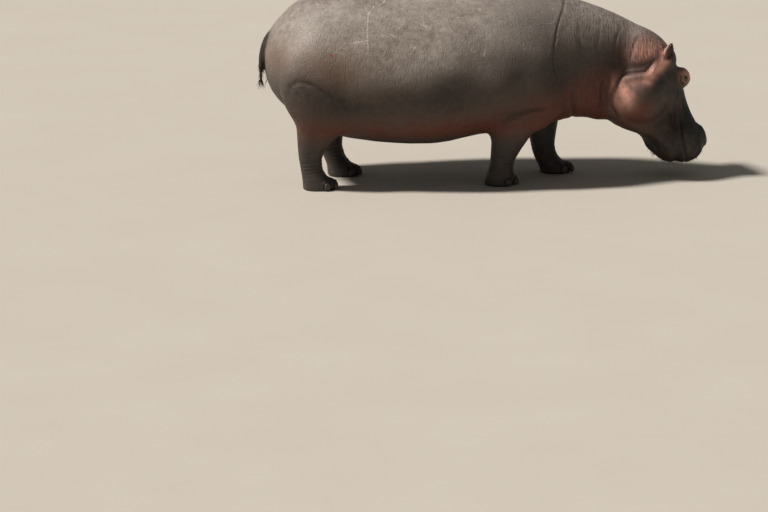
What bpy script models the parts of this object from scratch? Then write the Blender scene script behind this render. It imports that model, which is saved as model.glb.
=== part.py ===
"""Hippopotamus, life size, standing with its muzzle down at the ground.

Metres, +Z up, +X towards the head, -Y the animal's right side. The body is blocked out from lofts
and ellipsoids, melted into one closed skin, and then parted with thin cuts into named pieces.
While it is built, x = 0 is the middle of the barrel. The last step centres it over the origin.
"""

import math

import bmesh
import bpy
import numpy as np
from mathutils import Matrix, Vector

for leftover in list(bpy.data.objects):
    bpy.data.objects.remove(leftover, do_unlink=True)

# Whole animal
GAP = 0.0003
VOXEL = 0.012
MELT_STEPS = 14
BLEND_STEPS = 60
BODY_TRIANGLES = 3600
DETAIL_WEIGHT = 0.008

# Trunk and neck, one section per row from rump to poll:
# x, height of the centre, half height, half width, how much wider the lower half is
TRUNK_SECTIONS = (
    (-1.204, 0.915, 0.090, 0.100, 0.00),
    (-1.172, 0.910, 0.190, 0.210, 0.00),
    (-1.092, 0.900, 0.300, 0.330, 0.00),
    (-0.962, 0.905, 0.412, 0.430, 0.00),
    (-0.729, 0.885, 0.515, 0.500, 0.04),
    (-0.437, 0.866, 0.555, 0.550, 0.08),
    (0.000, 0.855, 0.566, 0.585, 0.10),
    (0.364, 0.881, 0.525, 0.565, 0.08),
    (0.640, 0.885, 0.500, 0.515, 0.04),
    (0.802, 0.886, 0.480, 0.475, 0.02),
    (1.049, 0.880, 0.425, 0.380, 0.00),
    (1.239, 0.853, 0.390, 0.290, 0.00),
    (1.384, 0.822, 0.358, 0.228, 0.00),
    (1.530, 0.788, 0.306, 0.180, 0.00),
    (1.650, 0.775, 0.225, 0.130, 0.00),
)
TRUNK_SQUARENESS = 2.25

# Legs, one section per row from the sole up: z, x, distance from the middle, half length, half width
FORELEG_BACK = (
    (-0.030, 0.468, 0.215, 0.104, 0.108),
    (0.030, 0.468, 0.215, 0.104, 0.106),
    (0.080, 0.478, 0.220, 0.097, 0.098),
    (0.160, 0.487, 0.232, 0.088, 0.088),
    (0.270, 0.515, 0.262, 0.115, 0.098),
    (0.400, 0.550, 0.305, 0.152, 0.120),
    (0.560, 0.570, 0.350, 0.190, 0.135),
    (0.800, 0.600, 0.390, 0.200, 0.120),
)
FORELEG_FORWARD = (
    (-0.030, 0.930, 0.185, 0.106, 0.108),
    (0.030, 0.930, 0.185, 0.106, 0.106),
    (0.080, 0.895, 0.190, 0.098, 0.098),
    (0.160, 0.852, 0.200, 0.088, 0.088),
    (0.270, 0.845, 0.222, 0.102, 0.098),
    (0.400, 0.835, 0.270, 0.142, 0.120),
    (0.560, 0.800, 0.310, 0.185, 0.135),
    (0.800, 0.720, 0.350, 0.200, 0.120),
)
HINDLEG_BACK = (
    (-0.030, -0.840, 0.235, 0.110, 0.108),
    (0.030, -0.840, 0.235, 0.110, 0.106),
    (0.080, -0.860, 0.240, 0.095, 0.098),
    (0.160, -0.890, 0.250, 0.082, 0.086),
    (0.270, -0.895, 0.270, 0.095, 0.094),
    (0.400, -0.855, 0.300, 0.145, 0.120),
    (0.560, -0.810, 0.330, 0.205, 0.150),
    (0.860, -0.760, 0.330, 0.280, 0.170),
)
HINDLEG_FORWARD = (
    (-0.030, -0.620, 0.235, 0.110, 0.108),
    (0.030, -0.620, 0.235, 0.110, 0.106),
    (0.080, -0.640, 0.240, 0.095, 0.098),
    (0.160, -0.685, 0.250, 0.082, 0.086),
    (0.270, -0.710, 0.270, 0.095, 0.094),
    (0.400, -0.725, 0.300, 0.145, 0.120),
    (0.560, -0.750, 0.330, 0.205, 0.150),
    (0.860, -0.760, 0.330, 0.280, 0.170),
)
FOREFOOT_HEIGHT = 0.125
HINDFOOT_HEIGHT = 0.120
LEG_CUT_HEIGHT = {"foreleg": 0.47, "hindleg": 0.50}
LEG_CUT_MARGIN = 0.035

# Toes and nails, four to a foot
TOE_SPREAD = (-64, -22, 22, 64)
TOE_REACH = (0.066, 0.080, 0.080, 0.066)
TOE_SIZE = (0.050, 0.037, 0.044)
TOE_HEIGHT = 0.040
NAIL_SIZE = (0.013, 0.024, 0.025)
NAIL_HEIGHT = 0.033
NAIL_REACH = 0.043

# Head, in its own frame: x from poll to muzzle, z towards the brow
HEAD_PLACE = Vector((1.700, 0.000, 0.960))
HEAD_PITCH = 75
HEAD_TURN = 14
EYE_RADIUS = 0.023
EYE_PLACE = (0.240, 0.168, 0.030)

# Ears: where the shell grows from, which way it points, which way it opens, its half sizes, and
# how far it narrows towards the tip
EAR_ROOT = (0.045, 0.196, -0.078)
EAR_DIRECTIONS = {-1: (-0.880, 0.220, 0.420), 1: (-0.600, 0.700, 0.400)}
EAR_OPENING = (0.350, 0.850, 0.350)
EAR_SIZE = (0.070, 0.042, 0.027)
EAR_HOLLOW = (0.058, 0.031, 0.030)
EAR_POINT = 0.42
EAR_HOLLOW_SHIFT = 0.019

# Upper head, snout and lower jaw: x, top, bottom, half width
SKULL_SECTIONS = (
    (-0.200, -0.140, -0.280, 0.110),
    (-0.110, -0.049, -0.330, 0.165),
    (-0.020, -0.002, -0.400, 0.200),
    (0.100, 0.020, -0.460, 0.220),
    (0.250, 0.032, -0.510, 0.218),
    (0.360, 0.036, -0.520, 0.185),
    (0.450, 0.035, -0.450, 0.140),
)
SNOUT_SECTIONS = (
    (0.200, 0.030, -0.180, 0.155),
    (0.340, 0.040, -0.140, 0.140),
    (0.460, 0.046, -0.130, 0.142),
    (0.580, 0.060, -0.140, 0.182),
    (0.680, 0.078, -0.150, 0.222),
    (0.765, 0.070, -0.155, 0.228),
    (0.825, 0.035, -0.150, 0.200),
    (0.858, -0.020, -0.130, 0.140),
)
JAW_SECTIONS = (
    (0.220, -0.160, -0.520, 0.200),
    (0.340, -0.120, -0.565, 0.190),
    (0.460, -0.100, -0.500, 0.176),
    (0.570, -0.110, -0.355, 0.182),
    (0.670, -0.120, -0.290, 0.198),
    (0.750, -0.130, -0.265, 0.190),
    (0.805, -0.145, -0.235, 0.150),
    (0.830, -0.160, -0.220, 0.100),
)
HEAD_SQUARENESS = 2.8

# Swellings of the head: centre and half sizes, each on both sides
HEAD_SWELLINGS = {
    "jaw_muscle": ((0.245, 0.122, -0.310), (0.232, 0.168, 0.205)),
    "brow": ((0.240, 0.114, 0.026), (0.076, 0.072, 0.070)),
    "ear_base": ((0.058, 0.148, -0.074), (0.102, 0.072, 0.085)),
    "nostril": ((0.705, 0.112, 0.060), (0.095, 0.066, 0.046)),
    "upper_lip": ((0.690, 0.130, -0.060), (0.150, 0.108, 0.095)),
    "lower_lip": ((0.660, 0.100, -0.195), (0.140, 0.105, 0.095)),
}

# Mouth line in the head's frame, from the lips' front back to the corner, then down the cheek
MOUTH_LINE = (
    (1.000, -0.106),
    (0.860, -0.108),
    (0.780, -0.118),
    (0.690, -0.122),
    (0.600, -0.100),
    (0.500, -0.067),
    (0.400, -0.039),
    (0.310, -0.022),
    (0.272, -0.040),
    (0.300, -0.130),
    (0.360, -0.300),
    (0.400, -0.750),
)

# Planes that part neck and head: a point, and the direction towards the head
NECK_CUT = ((1.010, 0.900), (1.000, -0.050))
HEAD_CUT = ((1.436, 0.781), (0.810, -0.586))

# Tail, from root to tip: x, height, half width, half thickness
TAIL_SECTIONS = (
    (-1.070, 1.115, 0.052, 0.045),
    (-1.150, 1.080, 0.046, 0.038),
    (-1.200, 1.005, 0.036, 0.028),
    (-1.226, 0.920, 0.028, 0.020),
    (-1.230, 0.830, 0.022, 0.015),
    (-1.226, 0.750, 0.020, 0.011),
)


def spaced(rows, count):
    """Rows between the given ones, on a smooth curve through them."""
    table = np.array(rows, float)
    padded = np.vstack((2 * table[0] - table[1], table, 2 * table[-1] - table[-2]))
    found = []
    for place in np.linspace(0, len(rows) - 1, count):
        start = min(int(place), len(rows) - 2)
        t = place - start
        a, b, c, d = padded[start : start + 4]
        found.append(0.5 * (2 * b + (c - a) * t + (2 * a - 5 * b + 4 * c - d) * t**2
                            + (3 * b - a - 3 * c + d) * t**3))
    return found


def ring(half_width, half_height, squareness, corners, fuller_below=0.0):
    """Points of a rounded section, as (sideways, upwards)."""
    points = []
    for step in range(corners):
        angle = 2 * math.pi * step / corners
        side, up = math.cos(angle), math.sin(angle)
        side = math.copysign(abs(side) ** (2 / squareness), side)
        up = math.copysign(abs(up) ** (2 / squareness), up)
        points.append((half_width * side * (1 - fuller_below * up), half_height * up))
    return points


def add_object(name, bm):
    bmesh.ops.recalc_face_normals(bm, faces=bm.faces)
    mesh = bpy.data.meshes.new(name)
    bm.to_mesh(mesh)
    bm.free()
    obj = bpy.data.objects.new(name, mesh)
    bpy.context.scene.collection.objects.link(obj)
    return obj


def loft(name, rings):
    """A closed tube through rings of points."""
    bm = bmesh.new()
    loops = [[bm.verts.new(point) for point in points] for points in rings]
    corners = len(loops[0])
    for lower, upper in zip(loops, loops[1:]):
        for step in range(corners):
            after = (step + 1) % corners
            bm.faces.new((lower[step], lower[after], upper[after]))
            bm.faces.new((lower[step], upper[after], upper[step]))
    bm.faces.new(loops[0])
    bm.faces.new(loops[-1])
    return add_object(name, bm)


def ellipsoid(name, centre, half_sizes, turn=None, segments=24, rings=14):
    bm = bmesh.new()
    shape = Matrix.Translation(centre) @ (turn or Matrix()) @ Matrix.Diagonal((*half_sizes, 1))
    bmesh.ops.create_uvsphere(bm, u_segments=segments, v_segments=rings, radius=1, matrix=shape)
    return add_object(name, bm)


def remove(obj):
    bpy.data.objects.remove(obj, do_unlink=True)


def apply_modifiers(obj):
    graph = bpy.context.evaluated_depsgraph_get()
    graph.update()
    mesh = bpy.data.meshes.new_from_object(obj.evaluated_get(graph))
    obj.modifiers.clear()
    obj.data = mesh


def boolean(target, cutter, operation):
    modifier = target.modifiers.new("cut", "BOOLEAN")
    modifier.operation = operation
    modifier.solver = "EXACT"
    modifier.object = cutter
    apply_modifiers(target)


def duplicate(obj, name):
    copy = bpy.data.objects.new(name, obj.data.copy())
    bpy.context.scene.collection.objects.link(copy)
    return copy


def part_off(whole, name, region):
    """Takes the piece inside a region off the whole. The region's builder takes a growth."""
    piece = duplicate(whole, name)
    inside = region(0.0)
    boolean(piece, inside, "INTERSECT")
    remove(inside)
    outside = region(GAP)
    boolean(whole, outside, "DIFFERENCE")
    remove(outside)
    return piece


def ahead_of(place, direction):
    """A region builder: everything on one side of a plane that stands across the animal."""
    size = 4.0

    def build(growth):
        towards = Vector((direction[0], 0, direction[1])).normalized()
        turn = towards.to_track_quat("Z", "Y").to_matrix().to_4x4()
        middle = Vector((place[0], 0, place[1])) + towards * (size / 2 - growth)
        bm = bmesh.new()
        bmesh.ops.create_cube(bm, size=size, matrix=Matrix.Translation(middle) @ turn)
        return add_object("region", bm)

    return build


def below(height, low_x, high_x, side):
    """A region builder: the box under a height, round one foot."""

    def build(growth):
        bm = bmesh.new()
        shape = Matrix.Translation(((low_x + high_x) / 2, side * 0.4, height - 1 + growth))
        size = Matrix.Diagonal((high_x - low_x, 0.8, 2.0, 1))
        bmesh.ops.create_cube(bm, size=1, matrix=shape @ size)
        return add_object("region", bm)

    return build


def trunk_solid():
    rings = []
    for x, centre, height, width, fuller in spaced(TRUNK_SECTIONS, 90):
        section = ring(width, height, TRUNK_SQUARENESS, 80, fuller)
        rings.append([(x, side, centre + up) for side, up in section])
    return loft("trunk", rings)


def leg_solid(rows, side, growth=0.0, levels=34, corners=40):
    """One leg, from below the sole up into the body."""
    rings = []
    for z, x, out, length, width in spaced(rows, levels):
        section = ring(length + growth, width + growth, 2.2, corners)
        rings.append([(x + along, side * out + across, z) for along, across in section])
    return loft("leg", rings)


def leg_region(rows, side, top):
    """A region builder: the space round one leg below a height, flat on top."""

    def build(growth):
        region = leg_solid(rows, side, LEG_CUT_MARGIN + growth, len(rows), 14)
        bm = bmesh.new()
        bmesh.ops.create_cube(bm, size=6, matrix=Matrix.Translation((0, 0, top + growth - 3)))
        lower_half = add_object("lower_half", bm)
        boolean(region, lower_half, "INTERSECT")
        remove(lower_half)
        return region

    return build


def head_loft(name, rows, frame):
    rings = []
    for x, top, bottom, width in spaced(rows, 26):
        section = ring(width, (top - bottom) / 2, HEAD_SQUARENESS, 32)
        middle = (top + bottom) / 2
        rings.append([frame @ Vector((x, side, middle + up)) for side, up in section])
    return loft(name, rings)


def head_frame():
    """The head's own frame: pitched down about the poll, and turned a little to its left."""
    return (
        Matrix.Translation(HEAD_PLACE)
        @ Matrix.Rotation(math.radians(HEAD_TURN), 4, "Z")
        @ Matrix.Rotation(math.radians(HEAD_PITCH), 4, "Y")
    )


def toe_places(rows, side):
    """Centre and heading of each toe of a foot, from the inner side round to the outer."""
    _, x, out, _, _ = rows[0]
    for spread, reach in zip(TOE_SPREAD, TOE_REACH):
        heading = math.radians(spread)
        yield Vector((x + 0.01 + reach * math.cos(heading), side * out + reach * math.sin(heading),
                      TOE_HEIGHT)), heading


LEGS = {
    "foreleg_right": (FORELEG_BACK, -1, FOREFOOT_HEIGHT),
    "foreleg_left": (FORELEG_FORWARD, 1, FOREFOOT_HEIGHT),
    "hindleg_right": (HINDLEG_BACK, -1, HINDFOOT_HEIGHT),
    "hindleg_left": (HINDLEG_FORWARD, 1, HINDFOOT_HEIGHT),
}
HEAD = head_frame()


# The whole body as overlapping blocks
blocks = [trunk_solid()]
for rows, side, _ in LEGS.values():
    blocks.append(leg_solid(rows, side))
    for centre, heading in toe_places(rows, side):
        turn = Matrix.Rotation(heading, 4, "Z")
        blocks.append(ellipsoid("toe", centre, TOE_SIZE, turn))
blocks.append(head_loft("skull", SKULL_SECTIONS, HEAD))
blocks.append(head_loft("snout", SNOUT_SECTIONS, HEAD))
blocks.append(head_loft("jaw", JAW_SECTIONS, HEAD))
for name, ((x, y, z), size) in HEAD_SWELLINGS.items():
    for side in (-1, 1):
        centre = HEAD @ Vector((x, side * y, z))
        blocks.append(ellipsoid(name, centre, size, HEAD.to_3x3().to_4x4()))

# Shoulder, haunch and throat masses
for side in (-1, 1):
    blocks.append(ellipsoid("shoulder", (0.68, side * 0.36, 0.78), (0.26, 0.17, 0.38)))
    blocks.append(ellipsoid("haunch", (-0.80, side * 0.33, 0.80), (0.32, 0.19, 0.42)))
blocks.append(ellipsoid("throat", (1.22, 0.0, 0.62), (0.17, 0.26, 0.20)))

# Melted into one closed skin, smoothed, and thinned out where it is flat
bm = bmesh.new()
for block in blocks:
    bm.from_mesh(block.data)
    remove(block)
body = add_object("body", bm)
melt = body.modifiers.new("melt", "REMESH")
melt.mode = "VOXEL"
melt.voxel_size = VOXEL
apply_modifiers(body)
blend = body.vertex_groups.new(name="blend")
keep = body.vertex_groups.new(name="keep")
for vertex in body.data.vertices:
    x, _, z = vertex.co
    ahead = (x - HEAD_CUT[0][0]) * HEAD_CUT[1][0] + (z - HEAD_CUT[0][1]) * HEAD_CUT[1][1]
    above_foot = min(max((z - 0.12) / 0.15, 0.0), 1.0)
    behind = min(max((0.10 - ahead) / 0.12, 0.0), 1.0)
    blend.add([vertex.index], min(above_foot, behind), "REPLACE")
    keep.add([vertex.index], 0.9 if ahead > -0.02 else 0.5 if z < 0.14 else 0.0, "REPLACE")
melting = body.modifiers.new("soften", "SMOOTH")
melting.iterations = MELT_STEPS
blending = body.modifiers.new("blend", "SMOOTH")
blending.iterations = BLEND_STEPS
blending.vertex_group = "blend"
thin = body.modifiers.new("thin", "DECIMATE")
thin.ratio = BODY_TRIANGLES / sum(len(face.vertices) - 2 for face in body.data.polygons)
thin.vertex_group = "keep"
thin.vertex_group_factor = DETAIL_WEIGHT
thin.invert_vertex_group = True
apply_modifiers(body)
body.vertex_groups.clear()


def sole_box():
    """Everything under the floor."""
    bm = bmesh.new()
    bmesh.ops.create_cube(bm, size=6, matrix=Matrix.Translation((0, 0, -3)))
    return add_object("under_floor", bm)


def jaw_region(growth):
    """The head below the mouth line and ahead of the cheek, as one straight-sided block."""
    line = [Vector(point) for point in MOUTH_LINE]
    moved = []
    for before, here, after in zip(line[:1] + line, line, line[1:] + line[-1:]):
        along = ((here - before).normalized() + (after - here).normalized()).normalized()
        moved.append(here + growth * Vector((along.y, -along.x)))
    moved.append(Vector((1.0, MOUTH_LINE[-1][1])))
    reach = 0.5
    rings = [[HEAD @ Vector((x, side * reach, z)) for x, z in moved] for side in (-1, 1)]
    return loft("jaw_block", rings)


def ear_turn(side):
    """Axes of one ear: x across the shell, y out of its opening, z from root to tip."""
    back, out, up = EAR_DIRECTIONS[side]
    direction = Vector((back, side * out, up)).normalized()
    opening = Vector((EAR_OPENING[0], side * EAR_OPENING[1], EAR_OPENING[2]))
    opening = (opening - direction * opening.dot(direction)).normalized()
    across = opening.cross(direction)
    return Matrix((across, opening, direction)).transposed().to_4x4()


def ear_form(side, sizes, shift):
    """A rounded form in an ear's axes, as far from the ear's root as the shift says."""
    turn = ear_turn(side)
    root = Vector((EAR_ROOT[0], side * EAR_ROOT[1], EAR_ROOT[2]))
    form = ellipsoid("ear", (0, 0, 0), sizes, None, 12, 8)
    for vertex in form.data.vertices:
        towards_tip = max(vertex.co.z / sizes[2], 0.0)
        vertex.co.x *= 1 - EAR_POINT * towards_tip**1.5
    form.data.transform(HEAD @ Matrix.Translation(root + turn.to_3x3() @ Vector(shift)) @ turn)
    return form


def ear_shell(side, growth):
    length, width, depth = EAR_SIZE
    return ear_form(side, (width + growth, depth + growth, length + growth), (0, 0, 0.75 * length))


def ear_hollow(side):
    length, width, depth = EAR_HOLLOW
    return ear_form(side, (width, depth, length), (0, EAR_HOLLOW_SHIFT, 0.80 * EAR_SIZE[0]))


def tail_solid(growth):
    rings = []
    rows = spaced(TAIL_SECTIONS, 11)
    for step, (x, z, width, thickness) in enumerate(rows):
        before, after = rows[max(step - 1, 0)], rows[min(step + 1, len(rows) - 1)]
        along = Vector((after[0] - before[0], 0, after[1] - before[1])).normalized()
        outward = Vector((-along.z, 0, along.x))
        end = growth * ((step == len(rows) - 1) - (step == 0))
        section = ring(width + growth, thickness + growth, 2.0, 10)
        middle = Vector((x, 0, z)) + along * end
        rings.append([middle + Vector((0, side, 0)) + outward * up for side, up in section])
    return loft("tail", rings)


def nail_solid(centre, heading, growth):
    out = Vector((math.cos(heading), math.sin(heading), 0))
    place = centre + out * NAIL_REACH
    place.z = NAIL_HEIGHT
    sizes = [size + growth for size in NAIL_SIZE]
    return ellipsoid("nail", place, sizes, Matrix.Rotation(heading, 4, "Z"), 7, 4)


# Flat soles at floor level
under_floor = sole_box()
boolean(body, under_floor, "DIFFERENCE")
remove(under_floor)

# The body parted into its pieces, feet and legs first
pieces = {}
for leg_name, (rows, side, foot_height) in LEGS.items():
    kind, which = leg_name.split("_")
    foot_x = rows[0][1]
    foot_name = kind.replace("leg", "foot") + "_" + which
    foot = part_off(body, foot_name, below(foot_height, foot_x - 0.3, foot_x + 0.3, side))
    top = LEG_CUT_HEIGHT[kind]
    pieces[leg_name] = part_off(body, leg_name, leg_region(rows, side, top))
    for number, (centre, heading) in enumerate(toe_places(rows, side), start=1):
        socket = nail_solid(centre, heading, GAP)
        boolean(foot, socket, "DIFFERENCE")
        remove(socket)
        nail = nail_solid(centre, heading, 0.0)
        nail.name = f"toenail_{foot_name}_{number}"
        pieces[nail.name] = nail
    pieces[foot_name] = foot
head = part_off(body, "head", ahead_of(*HEAD_CUT))
pieces["neck"] = part_off(body, "neck", ahead_of(*NECK_CUT))
pieces["lower_jaw"] = part_off(head, "lower_jaw", jaw_region)

# Ears and eyes in their sockets
for side, which in ((-1, "right"), (1, "left")):
    socket = ear_shell(side, GAP)
    boolean(head, socket, "DIFFERENCE")
    remove(socket)
    ear = ear_shell(side, 0.0)
    hollow = ear_hollow(side)
    boolean(ear, hollow, "DIFFERENCE")
    remove(hollow)
    pieces["ear_" + which] = ear
    eye_centre = HEAD @ Vector((EYE_PLACE[0], side * EYE_PLACE[1], EYE_PLACE[2]))
    socket = ellipsoid("socket", eye_centre, [EYE_RADIUS + GAP] * 3, None, 12, 8)
    boolean(head, socket, "DIFFERENCE")
    remove(socket)
    pieces["eye_" + which] = ellipsoid("eye", eye_centre, [EYE_RADIUS] * 3, None, 12, 8)
pieces["head"] = head

# Tail
socket = tail_solid(GAP)
boolean(body, socket, "DIFFERENCE")
remove(socket)
pieces["tail"] = tail_solid(0.0)
pieces["trunk"] = body

# Colours of skin, nail and eye
MATERIALS = {
    "grey_skin": ((0.125, 0.105, 0.098), 0.55),
    "brown_skin": ((0.200, 0.105, 0.080), 0.55),
    "pink_skin": ((0.420, 0.170, 0.130), 0.50),
    "nail": ((0.060, 0.050, 0.045), 0.45),
    "eye": ((0.030, 0.015, 0.010), 0.10),
}
made = {}
for name, (colour, roughness) in MATERIALS.items():
    material = bpy.data.materials.new(name)
    material.use_nodes = True
    shader = material.node_tree.nodes["Principled BSDF"]
    shader.inputs["Base Color"].default_value = (*colour, 1)
    shader.inputs["Roughness"].default_value = roughness
    shader.inputs["Metallic"].default_value = 0.0
    made[name] = material
LOOKS = {"neck": "brown_skin", "lower_jaw": "brown_skin", "ear": "pink_skin", "eye": "eye",
         "toenail": "nail"}

# Every piece is centred over the origin together, named, coloured and put in one collection
corners = [vertex.co for piece in pieces.values() for vertex in piece.data.vertices]
middle_x = (min(corner.x for corner in corners) + max(corner.x for corner in corners)) / 2
middle_y = (min(corner.y for corner in corners) + max(corner.y for corner in corners)) / 2
hippopotamus = bpy.data.collections.new("hippopotamus")
bpy.context.scene.collection.children.link(hippopotamus)
for name, piece in pieces.items():
    piece.name = name
    piece.data.name = name
    piece.data.transform(Matrix.Translation((-middle_x, -middle_y, 0)))
    look = LOOKS.get(name, LOOKS.get(name.split("_")[0], "grey_skin"))
    piece.data.materials.clear()
    piece.data.materials.append(made[look])
    piece.data.polygons.foreach_set("use_smooth", [True] * len(piece.data.polygons))
    bpy.context.scene.collection.objects.unlink(piece)
    hippopotamus.objects.link(piece)
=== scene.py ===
"""Looks of a life-size hippopotamus that stands with its muzzle down at the ground.

The solids give the proportions. One hide is drawn over all the flesh, with its folds, lips, lids
and toes pressed in, and eyes, toenails and bristles are set into it.
"""

import math

import bmesh
import bpy
import numpy as np
from mathutils import Matrix, Vector


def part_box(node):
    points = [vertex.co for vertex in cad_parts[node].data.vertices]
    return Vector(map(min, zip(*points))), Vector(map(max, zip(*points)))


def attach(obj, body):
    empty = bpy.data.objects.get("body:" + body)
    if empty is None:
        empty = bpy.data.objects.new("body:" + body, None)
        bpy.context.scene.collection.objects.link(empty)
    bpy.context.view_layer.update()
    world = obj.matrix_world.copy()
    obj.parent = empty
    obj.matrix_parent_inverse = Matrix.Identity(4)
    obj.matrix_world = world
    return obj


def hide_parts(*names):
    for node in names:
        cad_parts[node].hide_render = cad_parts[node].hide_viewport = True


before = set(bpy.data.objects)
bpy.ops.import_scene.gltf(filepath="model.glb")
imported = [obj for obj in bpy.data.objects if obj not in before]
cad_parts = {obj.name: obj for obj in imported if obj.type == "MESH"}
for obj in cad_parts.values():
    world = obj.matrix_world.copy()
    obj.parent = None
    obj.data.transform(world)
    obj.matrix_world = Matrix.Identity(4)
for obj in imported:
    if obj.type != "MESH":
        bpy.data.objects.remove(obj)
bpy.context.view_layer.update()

# Hide, form. One bare skin, two to five centimetres thick, over trunk, neck, head, ears, tail,
# legs and feet. The solids are swollen by a hair's breadth so that the cuts between them close,
# melted into one closed surface, and smoothed: much on the barrel, little on the head.

SEAM_CLOSING = 0.0004
HIDE_GRAIN = 0.007
HIDE_SMOOTHING = 150
HIDE_TRIANGLES = 190000
HEAD_FIRMNESS = 0.90
LEG_SOFTNESS = 0.16
THIN_FIRMNESS = 0.93
SOFTNESS_LEVELS = 40
SIDES = {"right": -1, "left": 1}
FEET = ("forefoot_right", "forefoot_left", "hindfoot_right", "hindfoot_left")

# The head's frame: x from poll to muzzle, y to its left, z towards the brow
HEAD_PITCH = 75
HEAD_TURN = 14
EYES_FROM_POLL = Vector((0.240, 0.0, 0.030))


def middle(node):
    low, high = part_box(node)
    return (low + high) / 2


head_axes = (
    Matrix.Rotation(math.radians(HEAD_TURN), 3, "Z")
    @ Matrix.Rotation(math.radians(HEAD_PITCH), 3, "Y")
)
poll = (middle("eye_left") + middle("eye_right")) / 2 - head_axes @ EYES_FROM_POLL


def in_head(points):
    """Points in the head's frame."""
    return (points - np.array(poll)) @ np.array(head_axes)


def on_head(ahead, side, above):
    """A place on the head, in the row frame, from its place in the head's frame."""
    return poll + head_axes @ Vector((ahead, side, above))


def add_piece(name, bm):
    mesh = bpy.data.meshes.new(name)
    bm.to_mesh(mesh)
    bm.free()
    piece = bpy.data.objects.new(name, mesh)
    bpy.context.scene.collection.objects.link(piece)
    return piece


def apply_modifiers(piece):
    graph = bpy.context.evaluated_depsgraph_get()
    graph.update()
    mesh = bpy.data.meshes.new_from_object(piece.evaluated_get(graph))
    piece.modifiers.clear()
    piece.data = mesh


def weigh(piece, name, weights, levels):
    """A vertex group of a piece, with its weights rounded to so many levels."""
    group = piece.vertex_groups.new(name=name)
    for level in range(1, levels + 1):
        chosen = np.nonzero(np.round(weights * levels) == level)[0]
        group.add(chosen.tolist(), level / levels, "REPLACE")


def shade_smooth(piece):
    piece.data.polygons.foreach_set("use_smooth", [True] * len(piece.data.polygons))


def vertex_places(mesh):
    places = np.empty(len(mesh.vertices) * 3, np.float32)
    mesh.vertices.foreach_get("co", places)
    return places.reshape(-1, 3).astype(float)


def vertex_normals(mesh):
    normals = np.empty(len(mesh.vertices) * 3, np.float32)
    mesh.vertex_normals.foreach_get("vector", normals)
    return normals.reshape(-1, 3).astype(float)


def ease(value):
    """0 below 0, 1 above 1, and a smooth rise between."""
    t = np.clip(value, 0, 1)
    return t * t * (3 - 2 * t)


def near_box(points, node, margin):
    """1 inside a node's box, fading to 0 at a margin outside it."""
    low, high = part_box(node)
    outside = np.maximum(np.array(low) - points, points - np.array(high)).max(axis=1)
    return 1 - ease(outside / margin)


bm = bmesh.new()
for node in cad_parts.values():
    bm.from_mesh(node.data)
bmesh.ops.remove_doubles(bm, verts=bm.verts, dist=1e-6)
bm.normal_update()
for vertex in bm.verts:
    vertex.co += SEAM_CLOSING * vertex.normal
hide = add_piece("hide", bm)
melt = hide.modifiers.new("melt", "REMESH")
melt.mode = "VOXEL"
melt.voxel_size = HIDE_GRAIN
apply_modifiers(hide)

points = vertex_places(hide.data)
ahead, _, above = in_head(points).T
on_the_head = ease((above + 0.62) / 0.14) * ease((ahead + 0.10) / 0.12)
softness = 1 - HEAD_FIRMNESS * on_the_head
softness *= LEG_SOFTNESS + (1 - LEG_SOFTNESS) * ease((points[:, 2] - 0.30) / 0.25)
for node in ("tail", "ear_left", "ear_right"):
    softness *= 1 - THIN_FIRMNESS * near_box(points, node, 0.03)
weigh(hide, "softness", softness, SOFTNESS_LEVELS)
soften = hide.modifiers.new("soften", "SMOOTH")
soften.iterations = HIDE_SMOOTHING
soften.vertex_group = "softness"
apply_modifiers(hide)
hide.vertex_groups.clear()

# Hide, finer where it is detailed: lids, ears and nostrils

EYE_RADIUS = (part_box("eye_right")[1].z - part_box("eye_right")[0].z) / 2
NOSTRIL = Vector((0.738, 0.098, 0.095))


def refine(mesh, centres, radius):
    """Splits every edge within a radius of any of the centres in two."""
    places = vertex_places(mesh)
    close = np.zeros(len(places), bool)
    for centre in centres:
        close |= np.linalg.norm(places - np.array(centre), axis=1) < radius
    bm = bmesh.new()
    bm.from_mesh(mesh)
    chosen = [edge for edge in bm.edges
              if close[edge.verts[0].index] and close[edge.verts[1].index]]
    bmesh.ops.subdivide_edges(bm, edges=chosen, cuts=1, use_grid_fill=True)
    bm.to_mesh(mesh)
    bm.free()


eye_places = {which: middle("eye_" + which) for which in SIDES}
ear_places = [middle("ear_" + which) for which in SIDES]
nostril_places = [on_head(NOSTRIL.x, side * NOSTRIL.y, NOSTRIL.z) for side in SIDES.values()]
refine(hide.data, list(eye_places.values()), 0.085)
refine(hide.data, list(eye_places.values()), 0.052)
refine(hide.data, ear_places, 0.085)
refine(hide.data, nostril_places, 0.075)

# Hide, folds and features. Each is pressed into the surface along its normal: a crease follows a
# path of a few places, given from the side in the row frame or in the head's frame.

points = vertex_places(hide.data)
normals = vertex_normals(hide.data)
fold = np.zeros(len(points))


def curve(places, count=40):
    """Places on a smooth curve through the given ones."""
    table = np.array(places, float)
    padded = np.vstack((2 * table[0] - table[1], table, 2 * table[-1] - table[-2]))
    found = []
    for spot in np.linspace(0, len(table) - 1, count):
        start = min(int(spot), len(table) - 2)
        t = spot - start
        a, b, c, d = padded[start : start + 4]
        found.append(0.5 * (2 * b + (c - a) * t + (2 * a - 5 * b + 4 * c - d) * t**2
                            + (3 * b - a - 3 * c + d) * t**3))
    return np.array(found)


def along_path(places, path):
    """Distance of each place from a path, which side of it the place lies on, and how far along."""
    best = np.full(len(places), 1e9)
    side = np.zeros(len(places))
    along = np.zeros(len(places))
    for step, (start, end) in enumerate(zip(path, path[1:])):
        run = end - start
        t = np.clip((places - start) @ run / (run @ run), 0, 1)
        offset = places - start - t[:, None] * run
        distance = np.linalg.norm(offset, axis=1)
        nearer = distance < best
        best[nearer] = distance[nearer]
        along[nearer] = (step + t[nearer]) / (len(path) - 1)
        turn = run[0] * offset[:, 1] - run[1] * offset[:, 0]
        side[nearer] = np.sign(turn[nearer])
    return best, side, along


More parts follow.
